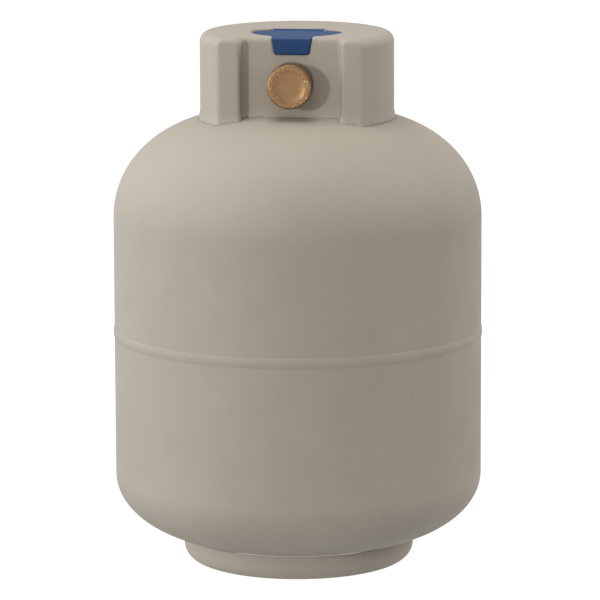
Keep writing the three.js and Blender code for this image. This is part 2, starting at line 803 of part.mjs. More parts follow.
function outletCap() {
  const bore = capRadius - capWall;
  const skirtEnd = panelForward + capGapToPanel;
  const rimOuter = capRadius - 1.8;
  const dish = rimOuter - capRimWidth;
  return turned([
    [0, capInside],
    [bore, capInside],
    [bore, skirtEnd],
    [capRadius, skirtEnd],
    [capRadius, capFront - 2.2],
    [capRadius - 0.6, capFront - 0.8],
    [rimOuter, capFront],
    [dish + 0.6, capFront],
    [dish - 0.6, capFront - capDishDepth],
    [0, capFront - capDishDepth],
  ], 32);
}

frontMesh('outlet_cap', outletCap(), brass());

// ---- Relief valve -------------------------------------------------------------------------

const rearMesh = (name, geometry, material, height) => {
  const mesh = add(name, geometry, material);
  mesh.rotation.x = -Math.PI / 2;
  mesh.position.z = height;
  return mesh;
};

const reliefSeal = reliefSeatBack + clearance;
const poppetBack = reliefSeal + 3;
const reliefRetainerFront = reliefArmLength - 4.5;
rearMesh('relief_seal', rod(4.9, reliefSeal, reliefSeal + 1.6), rubber(), reliefZ);
rearMesh('relief_poppet', turned([
  [0, reliefSeal + 1.9],
  [5.2, reliefSeal + 1.9],
  [5.2, reliefSeal + 0.4],
  [6.6, reliefSeal + 0.4],
  [6.6, poppetBack],
  [2, poppetBack],
  [2, poppetBack + 8],
  [0, poppetBack + 8],
], valveSides), brass(), reliefZ);
const reliefSpring = coil(4.6, 0.6, poppetBack + clearance, reliefRetainerFront - clearance, 5);
rearMesh('relief_spring', reliefSpring, springSteel(), reliefZ);
const reliefRing = ring(2.8, reliefBore - clearance, reliefRetainerFront, reliefArmLength - 0.5);
rearMesh('relief_retainer', reliefRing, brass(), reliefZ);

// ---- Bleed screw and dip tube -------------------------------------------------------------

const bleedHead = bleedBossLength + clearance;
const bleedHeadHeight = 2.6;
const bleedScrew = cut(
  joined(
    rod(bleedScrewRadius, bleedScrewEnd, bleedHead + 0.5, smallSides),
    rod(bleedHeadRadius, bleedHead, bleedHead + bleedHeadHeight, smallSides),
  ),
  block([-4, 4], [-0.5, 0.5], [bleedHead + bleedHeadHeight - 1.2, bleedHead + bleedHeadHeight + 1]),
);
rearMesh('bleed_screw', bleedScrew, brass(), bleedZ);

const dipTubeTop = shankBottom + dipTubeSocket - 1;
const dipTube = ring(dipTubeBore, dipTubeRadius, headTop - dipTubeReach, dipTubeTop, smallSides);
add('dip_tube', dipTube, brass()).position.y = dipTubeOffset;

// ---- Overfill stop ------------------------------------------------------------------------

const housingBottom = headTop - stopHousingBelowHead;
const stopSeat = housingBottom + 15;
const forkEnd = pivotZ - 5;
const eyeRadius = 4.2;

function stopHousing() {
  return cut(
    joined(
      rod(stopHousingRadius, housingBottom, shankBottom - clearance),
      rod(inletBore - clearance, shankBottom - 1, shankBottom + 9),
      block([-6, -2], [-5.5, 5.5], [forkEnd, housingBottom + 1]),
      block([2, 6], [-5.5, 5.5], [forkEnd, housingBottom + 1]),
    ),
    rod(stopHousingBore, housingBottom - 1, stopSeat),
    rod(3.4, stopSeat - 1, shankBottom + 10),
    rod(floatPinRadius + clearance, -8, 8, smallSides).rotateY(Math.PI / 2).translate(0, 0, pivotZ),
  );
}

add('stop_housing', stopHousing(), blackPlastic());

const plungerBottom = housingBottom + 1;
const stopPlunger = joined(
  rod(stopHousingBore - 0.4, plungerBottom, plungerBottom + 9),
  rod(1.4, pivotZ + eyeRadius + 0.5, plungerBottom + 1, smallSides),
);
add('stop_plunger', stopPlunger, blackPlastic());

const floatPin = add('float_pin', rod(floatPinRadius, -7, 7, smallSides), zincSteel());
floatPin.rotation.y = Math.PI / 2;
floatPin.position.z = pivotZ;

const armEnd = pivotZ - floatArmLength;
const floatBottom = armEnd + 3;
const floatTop = floatBottom + floatLength;
const eye = rod(eyeRadius, -1.6, 1.6, 16).rotateY(Math.PI / 2).translate(0, 0, pivotZ);
const eyeHole = rod(floatPinRadius + clearance, -3, 3, smallSides).rotateY(Math.PI / 2).translate(0, 0, pivotZ);
add('float_arm', cut(joined(eye, rod(floatArmRadius, armEnd, pivotZ - 2, smallSides)), eyeHole), zincSteel());
add('float', ring(floatArmRadius + clearance, floatRadius, floatBottom, floatTop), floatFoam());
const clipBottom = floatBottom - 1.3;
const floatClip = ring(floatArmRadius + clearance, 4, clipBottom, floatBottom - clearance, smallSides);
add('float_clip', floatClip, zincSteel());

export default tank;
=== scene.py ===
import math
import bpy
from mathutils import Matrix, Vector, noise


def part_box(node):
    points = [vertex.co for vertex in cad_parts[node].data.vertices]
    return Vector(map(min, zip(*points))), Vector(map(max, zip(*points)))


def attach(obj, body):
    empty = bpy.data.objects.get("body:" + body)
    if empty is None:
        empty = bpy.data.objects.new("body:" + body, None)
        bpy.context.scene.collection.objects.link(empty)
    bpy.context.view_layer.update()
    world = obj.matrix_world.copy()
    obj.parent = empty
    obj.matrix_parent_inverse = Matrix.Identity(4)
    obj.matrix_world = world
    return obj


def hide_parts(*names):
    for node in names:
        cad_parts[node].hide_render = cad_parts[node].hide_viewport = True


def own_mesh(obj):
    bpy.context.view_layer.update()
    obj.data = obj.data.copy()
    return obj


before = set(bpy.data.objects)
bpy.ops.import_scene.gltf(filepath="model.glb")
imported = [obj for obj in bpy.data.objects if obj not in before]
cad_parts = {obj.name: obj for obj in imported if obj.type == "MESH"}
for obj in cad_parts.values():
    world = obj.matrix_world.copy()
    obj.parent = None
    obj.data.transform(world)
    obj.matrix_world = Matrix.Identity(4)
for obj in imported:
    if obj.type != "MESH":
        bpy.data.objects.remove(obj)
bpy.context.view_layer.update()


# ---- The room ----
# A lit white sweep under four soft lamps: a small one ahead and to the left that casts the shadows,
# a large cool one on the left, and one each on the right and overhead. The room is darker near the floor.
# The camera stands a little above the tank and well back, turned a few degrees to its right.

def soft_lamp(name, place, target, size, power, colour):
    lamp = bpy.data.lights.new(name, "AREA")
    lamp.shape = "DISK"
    lamp.size = size
    lamp.energy = power
    lamp.color = colour
    holder = bpy.data.objects.new(name, lamp)
    holder.location = place
    holder.rotation_euler = (Vector(target) - Vector(place)).to_track_quat("-Z", "Y").to_euler()
    bpy.context.collection.objects.link(holder)


middle_of_tank = (0, 0, 0.24)
soft_lamp("front_lamp", (-1.95, -3.0, 0.95), middle_of_tank, 0.34, 43, (1.0, 0.975, 0.94))
soft_lamp("left_lamp", (-3.4, -0.1, 1.2), middle_of_tank, 2.0, 69, (0.84, 0.91, 1.0))
soft_lamp("right_lamp", (3.0, 1.1, 1.6), middle_of_tank, 1.4, 42, (1.0, 0.97, 0.95))
soft_lamp("top_lamp", (-0.3, -0.3, 3.2), middle_of_tank, 1.6, 40, (1.0, 0.985, 0.985))

world = bpy.data.worlds.new("studio")
bpy.context.scene.world = world
world.use_nodes = True
sky = world.node_tree.nodes["Background"]
sky.inputs["Strength"].default_value = 0.6
direction = world.node_tree.nodes.new("ShaderNodeTexCoord")
height = world.node_tree.nodes.new("ShaderNodeSeparateXYZ")
from_floor = world.node_tree.nodes.new("ShaderNodeMapRange")
for socket, value in (("From Min", -0.3), ("From Max", 0.3), ("To Min", 0.75), ("To Max", 1.0)):
    from_floor.inputs[socket].default_value = value
world.node_tree.links.new(direction.outputs["Generated"], height.inputs["Vector"])
world.node_tree.links.new(height.outputs["Z"], from_floor.inputs["Value"])
world.node_tree.links.new(from_floor.outputs["Result"], sky.inputs["Color"])

camera_data = bpy.data.cameras.new("camera")
camera_data.lens = 276.9
camera_data.sensor_width = 36
camera_data.clip_end = 100
camera = bpy.data.objects.new("camera", camera_data)
camera_turn = math.radians(6.0)
camera_distance = 3.839
camera.location = (
    camera_distance * math.sin(camera_turn), -camera_distance * math.cos(camera_turn), 0.915)
camera.rotation_euler = (math.radians(90 - 10.234), math.radians(0.2), camera_turn - math.radians(0.063))
bpy.context.collection.objects.link(camera)
bpy.context.scene.camera = camera
bpy.context.scene.view_settings.view_transform = "Standard"


class Shader:
    """A material on one principled shader, with short calls for its nodes."""

    def __init__(self, name, colour, roughness, metallic=0.0):
        self.material = bpy.data.materials.new(name)
        self.material.use_nodes = True
        self.tree = self.material.node_tree
        self.surface = self.tree.nodes["Principled BSDF"]
        self.surface.inputs["Base Color"].default_value = (*colour, 1)
        self.surface.inputs["Roughness"].default_value = roughness
        self.surface.inputs["Metallic"].default_value = metallic
        self.place = self.node("ShaderNodeTexCoord").outputs["Object"]

    def node(self, kind, **settings):
        made = self.tree.nodes.new(kind)
        for key, value in settings.items():
            setattr(made, key, value)
        return made

    def link(self, source, target):
        self.tree.links.new(source, target)

    def noise(self, scale, detail=2.0, roughness=0.5, stretch=(1, 1, 1)):
        place = self.node("ShaderNodeMapping")
        place.inputs["Scale"].default_value = stretch
        self.link(self.place, place.inputs["Vector"])
        made = self.node("ShaderNodeTexNoise")
        made.inputs["Scale"].default_value = scale
        made.inputs["Detail"].default_value = detail
        made.inputs["Roughness"].default_value = roughness
        self.link(place.outputs["Vector"], made.inputs["Vector"])
        return made.outputs["Fac"]

    def spread(self, source, low, high, to_low=0.0, to_high=1.0):
        made = self.node("ShaderNodeMapRange")
        self.link(source, made.inputs["Value"])
        for socket, value in zip(("From Min", "From Max", "To Min", "To Max"), (low, high, to_low, to_high)):
            made.inputs[socket].default_value = value
        return made.outputs["Result"]

    def blend(self, amount, first, second):
        made = self.node("ShaderNodeMix", data_type="RGBA")
        self.link(amount, made.inputs["Factor"])
        for socket, value in ((made.inputs["A"], first), (made.inputs["B"], second)):
            if isinstance(value, tuple):
                socket.default_value = (*value, 1)
            else:
                self.link(value, socket)
        return made.outputs["Result"]

    def times(self, first, second):
        made = self.node("ShaderNodeMath", operation="MULTIPLY")
        self.link(first, made.inputs[0])
        self.link(second, made.inputs[1])
        return made.outputs["Value"]

    def colour(self, source):
        self.link(source, self.surface.inputs["Base Color"])

    def roughness(self, source):
        self.link(source, self.surface.inputs["Roughness"])

    def bump(self, *layers):
        """Each layer is (height, depth in metres), laid over the one before."""
        below = None
        for height, depth in layers:
            made = self.node("ShaderNodeBump")
            made.inputs["Strength"].default_value = 1
            made.inputs["Distance"].default_value = depth
            self.link(height, made.inputs["Height"])
            if below:
                self.link(below, made.inputs["Normal"])
            below = made.outputs["Normal"]
        self.link(below, self.surface.inputs["Normal"])


floor_half = 12.0
floor_mesh = bpy.data.meshes.new("floor")
floor_mesh.from_pydata(
    [(x * floor_half, y * floor_half, 0) for x, y in ((-1, -1), (1, -1), (1, 1), (-1, 1))],
    [], [(0, 1, 2, 3)])
floor = bpy.data.objects.new("floor", floor_mesh)
bpy.context.collection.objects.link(floor)
sweep = Shader("white_sweep", (0.06, 0.06, 0.06), 0.9)
sweep.surface.inputs["Emission Color"].default_value = (1, 1, 1, 1)
sweep.surface.inputs["Emission Strength"].default_value = 1.0
floor_mesh.materials.append(sweep.material)
floor.visible_diffuse = False


# ---- Vessel halves ----
# Two deep-drawn steel cups, each a straight wall and a domed head, joined at the girth.
# The outside has a matt warm grey powder coat with the faint orange peel that such a coat dries to.

def turned(name, outline, steps=128, facing="up", height=0.0):
    """[r, z] corners turned about Z, or about the outlet's line at a height when it faces front or rear."""
    vertices, rows = [], []
    for r, z in outline:
        count = 1 if r == 0 else steps
        rows.append(range(len(vertices), len(vertices) + count))
        for i in range(count):
            angle = 2 * math.pi * i / steps
            x, y = r * math.cos(angle), r * math.sin(angle)
            spot = {"up": (x, y, z), "front": (x, -z, y), "rear": (x, z, -y)}[facing]
            vertices.append((spot[0], spot[1], spot[2] + height))
    if outline[0][0] > 0:
        rows.append(rows[0])
    faces = []
    for low, high in zip(rows, rows[1:]):
        for i in range(steps):
            j = (i + 1) % steps
            corners = [low[i % len(low)], low[j % len(low)], high[j % len(high)], high[i % len(high)]]
            corners = list(dict.fromkeys(corners))
            if len(corners) > 2:
                faces.append(corners)
    return made_mesh(name, vertices, faces)


def made_mesh(name, vertices, faces, sharp_angle=32):
    mesh = bpy.data.meshes.new(name)
    mesh.from_pydata([tuple(v) for v in vertices], [], [tuple(f) for f in faces])
    mesh.validate()
    mesh.polygons.foreach_set("use_smooth", [True] * len(mesh.polygons))
    mesh.set_sharp_from_angle(angle=math.radians(sharp_angle))
    piece = bpy.data.objects.new(name, mesh)
    bpy.context.collection.objects.link(piece)
    return piece


def dressed(piece, shader, body, slot, *nodes):
    """Gives a piece its material and its body, and hides the CAD nodes it stands for."""
    piece.data.materials.clear()
    piece.data.materials.append(shader.material)
    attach(piece, body)
    if nodes:
        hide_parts(*nodes)


def grey_coat(name, colour, grain, peel):
    coat = Shader(name, colour, 0.7)
    clouds = coat.noise(5, 3)
    specks = coat.noise(260, 3, 0.6)
    tone = tuple(c * 0.955 for c in colour)
    light = tuple(min(1, c * 1.03) for c in colour)
    base = coat.blend(coat.spread(clouds, 0.35, 0.65), tone, light)
    dusty = tuple(c * f for c, f in zip(colour, (0.90, 0.885, 0.86)))
    coat.colour(coat.blend(coat.spread(specks, 0.52, 0.78, 0, 0.45), base, dusty))
    coat.roughness(coat.spread(coat.noise(34, 4), 0.3, 0.7, 0.62, 0.8))
    coat.surface.inputs["Specular IOR Level"].default_value = 0.32
    coat.bump((coat.noise(peel, 2), 0.00012), (coat.noise(grain, 2), 0.00003))
    return coat


tank_coat = grey_coat("tank_powder_coat", (0.355, 0.318, 0.262), 1900, 420)

seam_low, seam_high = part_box("girth_weld")
lower_low, lower_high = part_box("lower_shell")
upper_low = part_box("upper_shell")[0]
vessel_radius = lower_high.x
vessel_wall = 0.0021
seam_height = (seam_low.z + seam_high.z) / 2
lower_head_depth = 0.0609
upper_head_depth = 0.0909
lower_head_power = 2.99
upper_head_power = 2.94
lower_tangent = lower_low.z + lower_head_depth
upper_tangent = 0.2944
boss_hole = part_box("valve_boss")[1].x + 0.0003


def head_curve(radius, depth, power, inner, steps=44):
    """A drawn head from its tangent line in to radius `inner`, as (r, height above the line)."""
    end = math.asin(math.sqrt(1 - (inner / radius) ** power))
    turns = [end * i / steps for i in range(steps + 1)]
    curve = [(radius * math.cos(t) ** (2 / power), depth * math.sin(t)) for t in turns]
    curve[-1] = (inner, curve[-1][1])
    return curve


def shell_outline(inner, depth, power, tangent, up, rim):
    """The closed section of one half, up for the upper one (+1) and down for the lower one (-1)."""
    outside = head_curve(vessel_radius, depth, power, inner)
    inside = head_curve(vessel_radius - vessel_wall, depth - vessel_wall, power, inner)
    skin = [(vessel_radius, rim)] + [(r, tangent + up * h) for r, h in outside]
    lining = [(r, tangent + up * h) for r, h in reversed(inside)] + [(vessel_radius - vessel_wall, rim)]
    if up > 0:
        return skin + lining
    middle = len(skin)
    around = list(reversed(skin + lining))
    split = len(around) - middle
    return around[split:] + around[:split]


upper_half = turned("upper_half", shell_outline(
    boss_hole, upper_head_depth, upper_head_power, upper_tangent, 1, upper_low.z), steps=160)
dressed(upper_half, tank_coat, "tank", "painted_steel", "upper_shell")
lower_half = turned("lower_half", shell_outline(
    0.0, lower_head_depth, lower_head_power, lower_tangent, -1, lower_high.z), steps=160)
dressed(lower_half, tank_coat, "tank", "painted_steel", "lower_shell")


# ---- Girth weld ----
# The bead that closes the two halves, laid by a turning machine and then coated over.
# It is a low, wide ridge with faint ripples, and a button where the bead starts and stops.

weld_half = (seam_high.z - seam_low.z) / 2 * 0.9
weld_root = vessel_radius - 0.0001
weld_crown = 0.00085
weld_button = math.radians(185)
ripple_pitch = 0.0062


def bead_height(angle, across):
    """How far the bead stands off the wall, at -1 to 1 across its width."""
    along = angle * vessel_radius
    ripple = 0.00006 * math.sin(2 * math.pi * along / ripple_pitch - 2.2 * across * across)
    drift = 0.00012 * noise.noise(Vector((math.cos(angle) * 9, math.sin(angle) * 9, across * 0.4)))
    button_far = (angle - weld_button) * vessel_radius / 0.0042
    button = 0.0003 * math.exp(-button_far ** 2)
    return (weld_crown + ripple + drift + button) * (1 - across * across) ** 0.8


def girth_bead(around=960, across=12):
    vertices, faces = [], []
    for i in range(around):
        angle = 2 * math.pi * i / around
        for j in range(across + 1):
            t = -1 + 2 * j / across
            r = weld_root + bead_height(angle, t)
            z = seam_height + weld_half * t
            vertices.append((r * math.cos(angle), r * math.sin(angle), z))
        inner = weld_root - 0.0004
        for z in (seam_height + weld_half, seam_height - weld_half):
            vertices.append((inner * math.cos(angle), inner * math.sin(angle), z))
    row = across + 3
    for i in range(around):
        for j in range(row):
            k, n = (j + 1) % row, (i + 1) % around
            faces.append((i * row + j, n * row + j, n * row + k, i * row + k))
    return made_mesh("girth_bead", vertices, faces, 50)


dressed(girth_bead(), tank_coat, "tank", "painted_steel", "girth_weld")


# ---- Foot ring ----
# A band of the same steel, rolled inwards at the floor so that it has no sharp edge to stand on.
# It is welded round the inside, out of sight, and coated with the vessel.

def rounded(corners, steps=6):
    """Corners as (x, y) or (x, y, radius); a radius turns the corner into a curve that long on each side."""
    points = []
    for i, corner in enumerate(corners):
        here = Vector(corner[:2])
        if len(corner) < 3:
            points.append(tuple(here))
            continue
        before = Vector(corners[i - 1][:2])
        after = Vector(corners[(i + 1) % len(corners)][:2])
        first = here + (before - here).normalized() * corner[2]
        last = here + (after - here).normalized() * corner[2]
        for k in range(steps + 1):
            t = k / steps
            points.append(tuple(first * (1 - t) ** 2 + here * (2 * t * (1 - t)) + last * t ** 2))
    return points


def arc(centre, radius, start, end, steps=12):
    angles = [math.radians(start + (end - start) * i / steps) for i in range(steps + 1)]
    return [(centre[0] + radius * math.cos(a), centre[1] + radius * math.sin(a)) for a in angles]


foot_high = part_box("foot_ring")[1]
foot_radius = foot_high.x
foot_wall = 0.003
foot_roll = 0.0144
foot_toe = foot_radius - foot_roll - 0.007
roll_centre = (foot_radius - foot_roll, foot_roll)
foot_outline = (
    [(foot_toe + 0.0008, 0)]
    + arc(roll_centre, foot_roll, -90, 0)
    + [(foot_radius, foot_high.z - 0.0004), (foot_radius - 0.0004, foot_high.z)]
    + [(foot_radius - foot_wall, foot_high.z - 0.0009)]
    + arc(roll_centre, foot_roll - foot_wall, 0, -90)
    + [(foot_toe + 0.0008, foot_wall), (foot_toe, foot_wall - 0.0008), (foot_toe, 0.0008)]
)
dressed(turned("foot_band", foot_outline, steps=160), tank_coat, "tank", "painted_steel", "foot_ring")


def fillet_bead(name, corners, amount, steps=480):
    """A hand-laid fillet weld: a turned section whose face swells and ripples along its run."""
    bead = turned(name, rounded(corners), steps=steps)
    for vertex in bead.data.vertices:
        x, y, z = vertex.co
        angle = math.atan2(y, x)
        r = math.hypot(x, y)
        swell = amount * (0.5 * math.sin(angle * r / 0.0009) + noise.noise(vertex.co * 300))
        vertex.co = ((r + swell) * math.cos(angle), (r + swell) * math.sin(angle), z)
    return bead


foot_weld_low, foot_weld_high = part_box("foot_ring_weld")
foot_bead = fillet_bead("foot_bead", [
    (foot_weld_high.x - 0.0032, foot_weld_high.z - 0.0008),
    (foot_weld_high.x - 0.0012, foot_weld_high.z - 0.0022, 0.0008),
    (foot_weld_high.x, foot_weld_low.z),
    (foot_weld_high.x, foot_weld_high.z),
], 0.00012)
dressed(foot_bead, tank_coat, "tank", "painted_steel", "foot_ring_weld")


# ---- Valve boss ----
# A forged steel collar with the valve's taper thread, set in the top of the upper half.
# Its outside is welded to the head; the machined face at the top is left bare.

def metal(name, colour, roughness, grain=300, worn=0.06, stretch=(1, 1, 1)):
    surface = Shader(name, colour, roughness, 1.0)
    dull = tuple(c * 0.72 for c in colour)
    surface.colour(surface.blend(surface.spread(surface.noise(grain / 6, 4), 0.4, 0.75), colour, dull))
    streaks = surface.noise(grain, 3, 0.6, stretch)
    surface.roughness(surface.spread(streaks, 0.25, 0.75, roughness - worn, roughness + 2 * worn))
    surface.bump((streaks, 0.00003))
    return surface


bare_steel = metal("bare_forged_steel", (0.30, 0.28, 0.26), 0.5)
boss_low, boss_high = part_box("valve_boss")
boss_bore = 0.0125
boss = turned("boss_collar", rounded([
    (boss_bore, boss_low.z),
    (boss_high.x, boss_low.z, 0.001),
    (boss_high.x, boss_high.z, 0.0008),
    (boss_bore, boss_high.z, 0.0008),
]), steps=96)
dressed(boss, bare_steel, "tank", "bare_steel", "valve_boss")

boss_weld_low, boss_weld_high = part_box("boss_weld")
boss_bead = fillet_bead("boss_bead", [
    (boss_high.x + 0.0003, boss_weld_low.z + 0.0002),
    (boss_weld_high.x, boss_weld_low.z + 0.0001),
    (boss_high.x + 0.0016, boss_weld_high.z - 0.0008, 0.0009),
    (boss_high.x + 0.0003, boss_weld_high.z),
], 0.00012, 240)
dressed(boss_bead, tank_coat, "tank", "painted_steel", "boss_weld")


# ---- Valve body ----
# Forged brass: a hexagon to screw it into the boss, an arm to the front for the outlet, an arm to the
# rear for the relief valve and a small boss for the bleed screw above it. Forging leaves soft corners.

brass = metal("forged_brass", (0.62, 0.43, 0.19), 0.36)
machined_brass = metal("machined_brass", (0.70, 0.50, 0.23), 0.24, 900, 0.04)


def joined(name, base, *changes):
    """Adds, cuts or intersects closed pieces in order; each change is (operation, piece)."""
    for operation, tool in changes:
        change = base.modifiers.new("join", "BOOLEAN")
        change.operation = operation
        change.solver = "MANIFOLD"
        change.object = tool
    settle(base)
    for _, tool in changes:
        bpy.data.objects.remove(tool)
    base.name = name
    return base


def settle(piece):
    """Applies a piece's modifiers."""
    graph = bpy.context.evaluated_depsgraph_get()
    final = bpy.data.meshes.new_from_object(piece.evaluated_get(graph))
    piece.modifiers.clear()
    piece.data = final
    return piece


def melted(piece, voxel, passes, faces_kept):
    """Runs a mould's soft corners over a sharp piece: even small faces, then smoothing, then thinning."""
    remesh = piece.modifiers.new("even", "REMESH")
    remesh.mode = "VOXEL"
    remesh.voxel_size = voxel
    smooth = piece.modifiers.new("soften", "SMOOTH")
    smooth.iterations = passes
    settle(piece)
    if len(piece.data.polygons) * 2 > faces_kept:
        thin = piece.modifiers.new("thin", "DECIMATE")
        thin.ratio = faces_kept / (2 * len(piece.data.polygons))
        settle(piece)
    piece.data.polygons.foreach_set("use_smooth", [True] * len(piece.data.polygons))
    return piece


def bar(radius, low, high, facing="up", height=0.0, steps=64, chamfer=0.0):
    corners = [(0, low), (radius, low), (radius, high), (0, high)]
    if chamfer:
        corners = [(0, low), (radius - chamfer, low), (radius, low + chamfer),
                   (radius, high - chamfer), (radius - chamfer, high), (0, high)]
    return turned("bar", corners, steps, facing, height)


outlet_height = sum(corner.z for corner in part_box("outlet_fitting")) / 2
relief_height = sum(corner.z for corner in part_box("relief_retainer")) / 2
bleed_height = sum(corner.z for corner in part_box("bleed_screw")) / 2
body_low, body_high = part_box("valve_body")
seat_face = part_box("seat_disc")[0].z
neck_radius = 0.013
hex_bottom = boss_high.z + 0.0003
body = joined(
    "valve_casting", bar(0.014, hex_bottom + 0.001, body_high.z - 0.007),
    ("UNION", bar(0.0122, body_low.z, hex_bottom + 0.002)),
    ("UNION", bar(0.016, hex_bottom, hex_bottom + 0.005, steps=6)),
    ("UNION", bar(neck_radius, body_high.z - 0.008, body_high.z)),
    ("UNION", bar(0.013, 0, -body_low.y, "front", outlet_height)),
    ("UNION", bar(0.010, 0, body_high.y, "rear", relief_height)),
    ("UNION", bar(0.0048, 0, 0.018, "rear", bleed_height)),
    ("DIFFERENCE", bar(0.009, seat_face - 0.0005, body_high.z + 0.001)),
    ("DIFFERENCE", bar(0.0035, outlet_height - 0.011, outlet_height)),
    ("DIFFERENCE", bar(0.0096, -body_low.y - 0.014, -body_low.y + 0.001, "front", outlet_height)),
    ("DIFFERENCE", bar(0.0075, body_high.y - 0.020, body_high.y + 0.001, "rear", relief_height)),
    ("DIFFERENCE", bar(0.0023, 0.0105, 0.020, "rear", bleed_height)),
    ("DIFFERENCE", bar(0.0062, body_low.z - 0.001, outlet_height - 0.010)),
)
melted(body, 0.0006, 3, 30000)
dressed(body, brass, "tank", "brass", "valve_body")

gland_low, gland_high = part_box("gland_nut")
gland = joined(
    "gland_hexagon", bar(gland_high.y, body_high.z + 0.0003, gland_high.z, steps=6),
    ("UNION", bar(0.0087, gland_low.z, body_high.z + 0.001)),
    ("INTERSECT", turned("chamfer", [
        (0, gland_low.z - 0.001), (0.0125, gland_low.z - 0.001), (0.0125, gland_high.z - 0.0022),
        (0.0098, gland_high.z), (0, gland_high.z)], 96)),
    ("DIFFERENCE", bar(0.0043, gland_low.z - 0.001, gland_high.z + 0.001)),
)
gland.data.set_sharp_from_angle(angle=math.radians(30))
dressed(gland, machined_brass, "tank", "brass", "gland_nut")


# ---- Relief valve and bleed screw ----
# The spring-loaded relief valve sits in the rear arm, behind a screwed ring with a hole for the gas.
# The bleed screw above it is opened with a screwdriver while the tank is filled.

def box_tool(low, high):
    vertices = [(x, y, z) for x in (low[0], high[0]) for y in (low[1], high[1]) for z in (low[2], high[2])]
    faces = [(0, 1, 3, 2), (4, 6, 7, 5), (0, 4, 5, 1), (2, 3, 7, 6), (0, 2, 6, 4), (1, 5, 7, 3)]
    return made_mesh("block", vertices, faces)


ring_low, ring_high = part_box("relief_retainer")
gas_hole = 0.0028
spanner_slot = 0.0007
relief_ring = joined(
    "relief_ring", turned("ring", rounded([
        (gas_hole, ring_low.y, 0.0003), (ring_high.x, ring_low.y, 0.0004),
        (ring_high.x, ring_high.y, 0.0004), (gas_hole, ring_high.y, 0.0006)], 3), 64, "rear", relief_height),
    ("DIFFERENCE", box_tool((-0.01, ring_high.y - 0.0012, relief_height - spanner_slot),
                            (0.01, ring_high.y + 0.001, relief_height + spanner_slot))),
)
dressed(relief_ring, machined_brass, "tank", "brass", "relief_retainer")

bleed_low, bleed_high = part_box("bleed_screw")
bleed_head = 0.0026
bleed = joined(
    "bleed_slotted_screw", turned("screw", rounded([
        (0, bleed_low.y), (0.002, bleed_low.y, 0.0005), (0.002, bleed_high.y - bleed_head),
        (bleed_high.x, bleed_high.y - bleed_head, 0.0003), (bleed_high.x, bleed_high.y, 0.0008),
        (0, bleed_high.y)], 4), 48, "rear", bleed_height),
    ("DIFFERENCE", box_tool((-0.005, bleed_high.y - 0.0012, bleed_height - 0.0005),
                            (0.005, bleed_high.y + 0.001, bleed_height + 0.0005))),
)
dressed(bleed, machined_brass, "bleed", "brass", "bleed_screw")


# ---- Guard posts and screws ----
# Four zinc-plated tubes stand on the head round the valve; the guard's floor rests on them.
# Each takes one cross-slotted screw from above, down in the handwheel well.

zinc = metal("zinc_plate", (0.62, 0.63, 0.64), 0.3, 500)
screw_hole = 0.0023
screw_shank = 0.0019
screw_head = 0.0024
slot_half = 0.0004
for number in range(1, 5):
    post_low, post_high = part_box(f"guard_post_{number}")
    post_place = Matrix.Translation(((post_low.x + post_high.x) / 2, (post_low.y + post_high.y) / 2, 0))
    post_radius = (post_high.x - post_low.x) / 2
    post = turned(f"post_tube_{number}", rounded([
        (screw_hole, post_low.z), (post_radius, post_low.z, 0.0003), (post_radius, post_high.z, 0.0005),
        (screw_hole, post_high.z, 0.0003)], 3), 48)
    post.data.transform(post_place)
    dressed(post, zinc, "tank", "zinc_steel", f"guard_post_{number}")

    screw_low, screw_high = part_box(f"guard_screw_{number}")
    head_radius = (screw_high.x - screw_low.x) / 2
    top = screw_high.z
    slot_low, slot_high = top - 0.0012, top + 0.001
    screw = joined(
        f"pan_screw_{number}", turned("screw", rounded([
            (0, screw_low.z), (screw_shank, screw_low.z, 0.0006), (screw_shank, top - screw_head),
            (head_radius, top - screw_head, 0.0003), (head_radius, top, 0.0012), (0, top)], 5), 48),
        ("DIFFERENCE", box_tool((-0.0022, -slot_half, slot_low), (0.0022, slot_half, slot_high))),
        ("DIFFERENCE", box_tool((-slot_half, -0.0022, slot_low), (slot_half, 0.0022, slot_high))),
    )
    screw.data.transform(post_place @ Matrix.Rotation(math.radians(23 * number), 4, "Z"))
    dressed(screw, zinc, "tank", "zinc_steel", f"guard_screw_{number}")


# ---- Guard ----
# One moulding in the tank's grey: a round drum with a soft top edge, cut flat at the front, with a
# recessed panel between the two flats. It has a well for the handwheel and a hand hold at the rear.

guard_low, guard_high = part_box("guard_shell")
cover_low, cover_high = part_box("valve_cover")
wheel_low, wheel_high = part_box("handwheel")
pin_low, pin_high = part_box("cover_hinge_pin")
guard_radius = guard_high.x
deck = guard_high.z
flats = -guard_low.y
tab_front = -cover_low.y
tab_proud = 0.0012
panel = tab_front - tab_proud
guard_wall = 0.003
guard_edge = 0.0079
flat_edge = 0.0052
panel_edge = 0.0046
flat_width = 0.0184
flat_corner_x = math.sqrt(guard_radius ** 2 - flats ** 2)
recess_half = flat_corner_x - flat_width
recess_draft = 0.0015
mating_gap = 0.0003


def lofted(name, rings):
    """A closed solid through rings of the same number of points, with a flat face at each end."""
    count = len(rings[0])
    vertices = [point for ring in rings for point in ring]
    faces = [tuple(reversed(range(count))), tuple(range(len(vertices) - count, len(vertices)))]
    for i in range(len(rings) - 1):
        for j in range(count):
            k = (j + 1) % count
            faces.append((i * count + j, i * count + k, (i + 1) * count + k, (i + 1) * count + j))
    return made_mesh(name, vertices, faces)


def rolled(below_top, radius):
    """How far an edge of that radius has rolled back, this far below its top."""
    climbed = min(radius, max(0.0, radius - below_top))
    return radius - math.sqrt(radius ** 2 - climbed ** 2)


